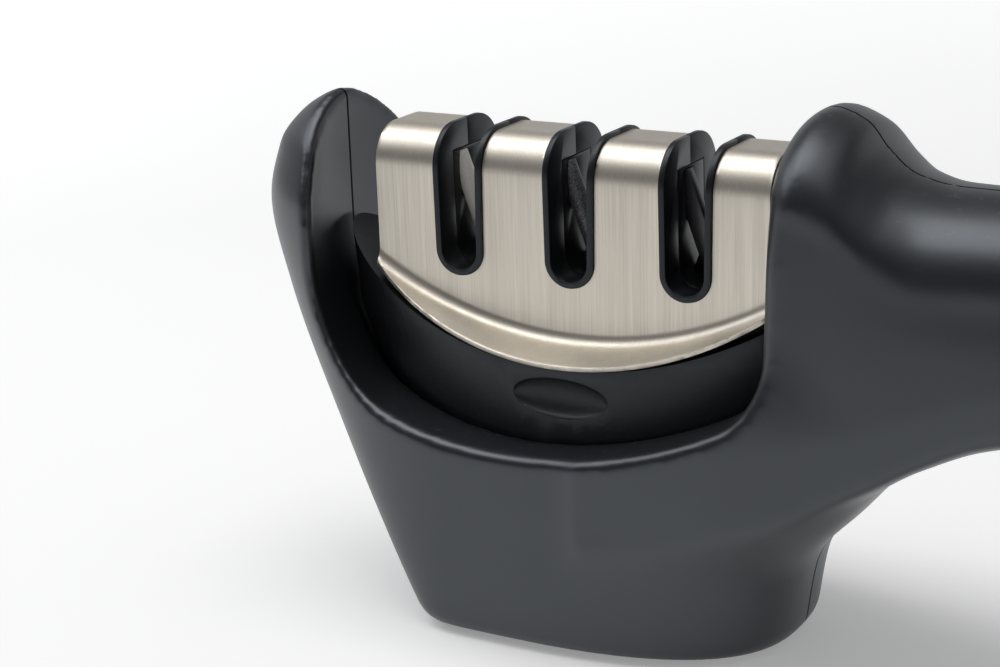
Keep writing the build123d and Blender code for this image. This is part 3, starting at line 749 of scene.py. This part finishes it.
field, xs, ys, zs = housing_field(housing_step)
origin = np.array((xs[0], ys[0], zs[0]))
points, number = skin_points(field)
faces = skin_faces(field, number)
points = settle_points(points * housing_step + origin, field, origin, housing_step)
for _ in range(spread_rounds):
    points = settle_points(spread_points(points, faces), field, origin, housing_step)
for _ in range(spread_rounds):
    points = spread_points(points, faces)
mesh = bpy.data.meshes.new("front_shell")
mesh.from_pydata(points.tolist(), [], faces.tolist())
front_shell = bpy.data.objects.new("front_shell", mesh)
bpy.context.scene.collection.objects.link(front_shell)
print("housing grid", field.shape, "faces", len(faces))

# %% [markdown]
# The two shells of the real housing meet at the mid-plane in a thin dark line. The front shell is cut there
# and closed, and the edge of the cut is rounded, so that the line is a real groove that catches the light.

# %% Housing: cut, round and mirror
hair = 0.001 * MM
merge_distance = 0.002 * MM
housing_smooth = math.radians(38)
make_active(front_shell)
bpy.ops.object.mode_set(mode="EDIT")
bpy.ops.mesh.select_all(action="SELECT")
bpy.ops.mesh.bisect(plane_co=(0, -seam_gap, 0), plane_no=(0, 1, 0), use_fill=True, clear_outer=True)
select_vertices(front_shell, lambda co: co.y > -seam_gap - hair)
bpy.ops.mesh.region_to_loop()
bpy.ops.mesh.bevel(offset=seam_round, segments=2, affect="EDGES")
bpy.ops.mesh.select_all(action="SELECT")
bpy.ops.mesh.remove_doubles(threshold=merge_distance)
bpy.ops.object.mode_set(mode="OBJECT")
bpy.ops.object.shade_smooth_by_angle(angle=housing_smooth)
dress(front_shell, "housing_plastic")

rear_shell = front_shell.copy()
rear_shell.data = front_shell.data.copy()
rear_shell.name = "rear_shell"
bpy.context.scene.collection.objects.link(rear_shell)
rear_shell.data.transform(Matrix.Scale(-1, 4, (0, 1, 0)))
rear_shell.data.flip_normals()
seat(front_shell, "base", "housing_plastic", "housing_front")
seat(rear_shell, "base", "housing_plastic", "housing_rear")

# %% [markdown]
# The cover is one sheet of steel: flat on top, bent over two round shoulders, straight down the sides, and
# turned out at the bottom into a flange that follows a long arc in side view and a lens in plan. A grid is
# added flat and each of its points is sent to its place on that bent sheet; Solidify then gives it the
# thickness of the real sheet.

# %% Cover: sizes
cover_low, cover_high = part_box("steel_cover")
sheet = 0.6 * MM
cover_half_depth = 8.2 * MM
cover_shoulder = 5.3 * MM
flange_reach = 39.0 * MM
flange_edge_height = 39.3 * MM
sheer_radius = 59.1 * MM
bend_radius = 1.9 * MM
flange_slope = math.radians(15)
flange_half_width = cover_high.y
cover_top = cover_high.z
sheer_centre = flange_edge_height + sheer_radius
bend_turn = math.pi / 2 - flange_slope
bend_end_out = cover_half_depth + bend_radius * (1 - math.cos(bend_turn))
bend_end_height = flange_edge_height + (flange_half_width - bend_end_out) * math.tan(flange_slope)
bend_start_height = bend_end_height + bend_radius * math.sin(bend_turn)


# %% Cover: where a point of the flat sheet goes
# Shares of the way from the top's middle line to the edge at which each part of the sheet begins
shoulder_from = 0.12
side_from = 0.36
bend_from = 0.6
flange_from = 0.8


def lowered(height, x):
    """Height of a point of the middle section at another place along the long arc."""
    return sheer_centre - math.sqrt((sheer_centre - height) ** 2 - x * x)


def sheet_place(x, share):
    """Place on the bent sheet: share 0 is the top's middle line and share 1 the flange's edge."""
    side = 1 if share >= 0 else -1
    share = abs(share)
    flat = cover_half_depth - cover_shoulder
    if share < shoulder_from:
        return side * flat * share / shoulder_from, cover_top
    if share < side_from:
        angle = math.pi / 2 * (share - shoulder_from) / (side_from - shoulder_from)
        return (side * (flat + cover_shoulder * math.sin(angle)),
                cover_top - cover_shoulder * (1 - math.cos(angle)))
    wall_high = cover_top - cover_shoulder
    wall_low = lowered(bend_start_height, x)
    if share < bend_from:
        down = (share - side_from) / (bend_from - side_from)
        return side * cover_half_depth, wall_high + (wall_low - wall_high) * down
    edge_out = flange_half_width * math.sqrt(1 - (x / flange_reach) ** 2)
    bend_out = min(bend_end_out, edge_out)
    if share < flange_from:
        most = math.acos(1 - (bend_out - cover_half_depth) / bend_radius)
        angle = most * (share - bend_from) / (flange_from - bend_from)
        out = cover_half_depth + bend_radius * (1 - math.cos(angle))
        return side * out, lowered(bend_start_height - bend_radius * math.sin(angle), x)
    out = bend_out + (edge_out - bend_out) * (share - flange_from) / (1 - flange_from)
    return side * out, lowered(bend_end_height - max(out - bend_end_out, 0) * math.tan(flange_slope), x)


# %% Cover: bend the grid and give it its thickness
cells_along = 120
cells_across = 100
select_none()
bpy.ops.mesh.primitive_grid_add(x_subdivisions=cells_along, y_subdivisions=cells_across, size=1)
cover = bpy.context.object
cover.name = "cover"
for vertex in cover.data.vertices:
    x = cover_low.x + (cover_high.x - cover_low.x) * (vertex.co.x + 0.5)
    out, height = sheet_place(x, 2 * vertex.co.y)
    vertex.co = (x, out, height)
apply_modifier(cover, "SOLIDIFY", thickness=sheet, offset=-1.0, use_even_offset=True)
print("cover spans", [round(v / MM, 1) for v in cover.dimensions])

# %% [markdown]
# The three slots are cut with a cutter shaped like the slot: a cylinder gives the round bottom, and its
# upper half is drawn up past the top of the cover and opened by the draft that lets the core come out of
# its mould. The cutter is a little larger than the rims of the core, which stand through it.

# %% Cover: cut the slots and soften the edges
slot_floor_height = 49.3 * MM
slot_width = 5.5 * MM
rim_wall = 0.85 * MM
sheet_fit = 0.1 * MM
slot_draft = math.radians(0.75)
cutter_rise = 30 * MM
cutter_length = 40 * MM
above_middle = 0.01 * MM
sheet_edge_round = 0.18 * MM
slot_edge_round = 0.1 * MM
cover_smooth = 50
slot_places = [sum(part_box("stage_%d_carrier" % stage), Vector()).x / 2 for stage in (1, 2, 3)]


def slot_cutter(place, radius):
    """A round-bottomed bar across the part that opens upwards."""
    select_none()
    middle = slot_floor_height + slot_width / 2
    bpy.ops.mesh.primitive_cylinder_add(
        vertices=64, radius=radius, depth=cutter_length,
        location=(place, 0, middle), rotation=(math.pi / 2, 0, 0))
    cutter = bake_place(bpy.context.object)
    bpy.ops.object.mode_set(mode="EDIT")
    select_vertices(cutter, lambda co: co.z > middle + above_middle)
    bpy.ops.transform.translate(value=(0, 0, cutter_rise))
    spread = (radius + cutter_rise * math.tan(slot_draft)) / radius
    bpy.ops.transform.resize(value=(spread, 1, 1), center_override=(place, 0, middle))
    bpy.ops.object.mode_set(mode="OBJECT")
    return cutter


soften_edges(cover, sheet_edge_round, cover_smooth, segments=3)
for place in slot_places:
    cut_away(cover, slot_cutter(place, slot_width / 2 + rim_wall + sheet_fit))
soften_edges(cover, slot_edge_round, cover_smooth)
dress(cover, "cover_steel")
seat(cover, "head", "cover_steel", "steel_cover")


# %% [markdown]
# The other pieces are right in the solid model but have edges of no width, which never catch light. A copy
# of each is merged, its flat triangles are dissolved into whole faces, and a narrow bevel gives every edge
# the small radius that a mould or a tumbler leaves.

# %% Softened copies of the solid pieces
flat_angle = math.radians(0.5)


def merged_copy(name, node):
    """A copy of a solid piece with its triangles merged and dissolved into whole faces."""
    piece = bpy.data.objects.new(name, nodes[node].data.copy())
    bpy.context.scene.collection.objects.link(piece)
    make_active(piece)
    bpy.ops.object.mode_set(mode="EDIT")
    bpy.ops.mesh.select_all(action="SELECT")
    bpy.ops.mesh.remove_doubles(threshold=hair)
    bpy.ops.mesh.dissolve_limited(angle_limit=flat_angle)
    bpy.ops.object.mode_set(mode="OBJECT")
    return piece


def softened(name, node, body, width):
    """A merged copy of a solid piece with its edges slightly rounded."""
    piece = soften_edges(merged_copy(name, node), width)
    return seat(piece, body, slot_of[node], node)


softened("hull", "head_body", "head", width=0.25 * MM)
softened("hull_floor", "head_floor", "head", width=0.25 * MM)
softened("core_half_front", "core_front", "head", width=0.12 * MM)
softened("core_half_rear", "core_rear", "head", width=0.12 * MM)
softened("foot", "foot_plate", "base", width=0.2 * MM)
softened("ballast", "ballast_plate", "base", width=0.4 * MM)
for stage in (1, 2, 3):
    softened("carrier_%d" % stage, "stage_%d_carrier" % stage, "head", width=0.1 * MM)
    for side in ("left", "right"):
        softened("element_%d_%s" % (stage, side), "stage_%d_%s" % (stage, side), "head", width=0.15 * MM)

# %% [markdown]
# A screw is a turned head on a shank with a six-sided socket. One is modelled at each size on the middle
# line and copied to each hole, each copy with its own mesh. The copies of one size are joined, as they are
# one node in the solid model.

# %% Screws
socket_share = 0.5
socket_lift = 0.1 * MM
screw_edge_round = 0.1 * MM


def screw_set(name, node, body, spots, head_low, head_radius, head_height, shank_radius, length):
    """Socket screws that point up, with their heads at one height, as one piece."""
    select_none()
    bpy.ops.mesh.primitive_cylinder_add(
        vertices=48, radius=head_radius, depth=head_height, location=(0, 0, head_low + head_height / 2))
    screw = bake_place(bpy.context.object)
    bpy.ops.object.mode_set(mode="EDIT")
    select_vertices(screw, lambda co: co.z > head_low + head_height / 2)
    bpy.ops.mesh.inset(thickness=head_radius - shank_radius)
    bpy.ops.mesh.extrude_region_move(TRANSFORM_OT_translate={"value": (0, 0, length - head_height)})
    bpy.ops.object.mode_set(mode="OBJECT")
    select_none()
    bpy.ops.mesh.primitive_cylinder_add(
        vertices=6, radius=head_radius * socket_share, depth=head_height,
        location=(0, 0, head_low + socket_lift))
    cut_away(screw, bake_place(bpy.context.object))
    soften_edges(screw, screw_edge_round)
    dress(screw, "screw_steel")
    made = []
    for x, y in spots:
        made.append(screw.copy())
        made[-1].data = screw.data.copy()
        made[-1].data.transform(Matrix.Translation((x, y, 0)))
        bpy.context.scene.collection.objects.link(made[-1])
    bpy.data.objects.remove(screw)
    select_none()
    for copied in made:
        copied.select_set(True)
    bpy.context.view_layer.objects.active = made[0]
    bpy.ops.object.join()
    made[0].name = name
    return seat(made[0], body, "screw_steel", node)


foot_spots = [(-11.5 * MM, -13 * MM), (-11.5 * MM, 13 * MM), (23 * MM, -8.5 * MM), (23 * MM, 8.5 * MM)]
head_spots = [(x * MM, y * MM) for x in (-18.5, 18.5) for y in (-4.0, 4.0)]
screw_set("foot_screw_set", "foot_screws", "base", foot_spots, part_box("foot_screws")[0].z,
          head_radius=2.6 * MM, head_height=1.2 * MM, shank_radius=1.4 * MM, length=8 * MM)
screw_set("head_screw_set", "head_screws", "head", head_spots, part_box("head_screws")[0].z,
          head_radius=2.0 * MM, head_height=1.0 * MM, shank_radius=1.1 * MM, length=7 * MM)

# %% [markdown]
# The pad under the foot is a sheet of rubber with grooves across it, so that it grips a wet worktop. Each
# groove is cut into a copy of the solid pad by a round bar.

# %% Pad with its grooves
pad = merged_copy("pad", "nonslip_pad")
pad_low, pad_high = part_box("nonslip_pad")
groove_pitch = 3.0 * MM
groove_radius = 0.5 * MM
groove_overhang = 4 * MM
groove_length = 2 * pad_high.y + groove_overhang
pad_edge_round = 0.08 * MM
groove_count = int((pad_high.x - pad_low.x) / groove_pitch) - 1
for index in range(groove_count):
    select_none()
    bpy.ops.mesh.primitive_cylinder_add(
        vertices=12, radius=groove_radius, depth=groove_length, rotation=(math.pi / 2, 0, 0),
        location=(pad_low.x + groove_pitch * (index + 1), 0, pad_low.z))
    cut_away(pad, bake_place(bpy.context.object))
soften_edges(pad, pad_edge_round)
seat(pad, "base", "pad_rubber", "nonslip_pad")

# %% [markdown]
# The set is a white table that runs out of sight, lit by a wide lamp overhead and one over the nose end. The
# black plastic shows nothing but what it mirrors, so the white table matters as much as the lamps: it fills
# the lower walls. The table is a pale grey surface that takes the object's soft shadow. To the camera it also
# glows a little, more so far away, until it runs into the white room, and mirrors see a part of that glow.

# %% Table
table_size = 4.0
table_grey = (0.84, 0.88)
glow_reach = (0.25, 1.1)
glow_strength = (0.27, 0.8)
mirror_glow = 0.27
select_none()
bpy.ops.mesh.primitive_plane_add(size=table_size, location=(0, 0, 0))
table = bpy.context.object
table.name = "table"
table_material, tree, shader, place = new_material("white table")
mottle = use_group(tree, grain, {"Vector": place, "Grains per metre": 700.0, "Cloud": 8.0})
tree.links.new(remap(tree, mottle["Shade"], 0.0, 1.0, *table_grey), shader.inputs["Base Color"])
shader.inputs["Roughness"].default_value = 0.6
shader.inputs["Specular IOR Level"].default_value = 0.3
shader.inputs["Emission Color"].default_value = (1, 1, 1, 1)
path = add_node(tree, "ShaderNodeLightPath").outputs
distance = add_node(tree, "ShaderNodeVectorMath", {0: place}, operation="LENGTH").outputs["Value"]
seen = times(tree, path["Is Camera Ray"], remap(tree, distance, *glow_reach, *glow_strength))
mirrored = add_node(tree, "ShaderNodeMath", {
    0: path["Is Glossy Ray"], 1: path["Is Transmission Ray"]}, operation="MAXIMUM")
lift = add_node(tree, "ShaderNodeMath", {
    0: mirrored.outputs[0], 1: mirror_glow, 2: seen}, operation="MULTIPLY_ADD")
tree.links.new(lift.outputs[0], shader.inputs["Emission Strength"])
table.data.materials.append(table_material)

# %% [markdown]
# The room is the world's light. It is dim in front and brighter behind, dim again above, and bright overhead,
# because the satin plastic draws these bands as the soft light and dark along its flanks. To the camera it is
# plain white.

# %% Room
low_front = 0.08
low_behind = 0.55
middle_strength = 0.16
overhead_strength = 0.5
seen_strength = 1.0
# The directions between which one strength passes into the next
front_to_behind = (-0.7, 0.5)
low_to_middle = (0.3, 0.5)
middle_to_overhead = (0.7, 0.9)
world = bpy.data.worlds.new("studio")
world.use_nodes = True
bpy.context.scene.world = world
sky = world.node_tree
background = sky.nodes["Background"]
generated = add_node(sky, "ShaderNodeTexCoord").outputs["Generated"]
toward = add_node(sky, "ShaderNodeSeparateXYZ", {"Vector": generated}).outputs
low_level = remap(sky, toward["Y"], *front_to_behind, low_front, low_behind)
middle_level = remap(sky, toward["Z"], *low_to_middle, low_level, middle_strength)
wall_level = remap(sky, toward["Z"], *middle_to_overhead, middle_level, overhead_strength)
by_camera = add_node(sky, "ShaderNodeLightPath").outputs["Is Camera Ray"]
sky.links.new(blend(sky, by_camera, wall_level, seen_strength), background.inputs["Strength"])
background.inputs["Color"].default_value = (0.97, 0.985, 1.0, 1)


# %% Lamps
def softbox(name, place, aim, size, power, colour):
    """A square lamp that looks at a point."""
    select_none()
    turn_to = (Vector(aim) - Vector(place)).to_track_quat("-Z", "Y").to_euler()
    bpy.ops.object.light_add(type="AREA", location=place, rotation=turn_to)
    lamp = bpy.context.object
    lamp.name = name
    lamp.data.shape = "RECTANGLE"
    lamp.data.size, lamp.data.size_y = size
    lamp.data.energy = power
    lamp.data.color = colour
    return lamp


lamp_aim = (0, 0, 0.04)
softbox("key", (-0.62, -0.12, 0.72), lamp_aim, (0.7, 0.7), 2.7, (0.97, 0.985, 1.0))
softbox("ceiling", (-0.1, 0.0, 0.85), lamp_aim, (0.6, 0.6), 2.6, (1.0, 0.98, 0.96))
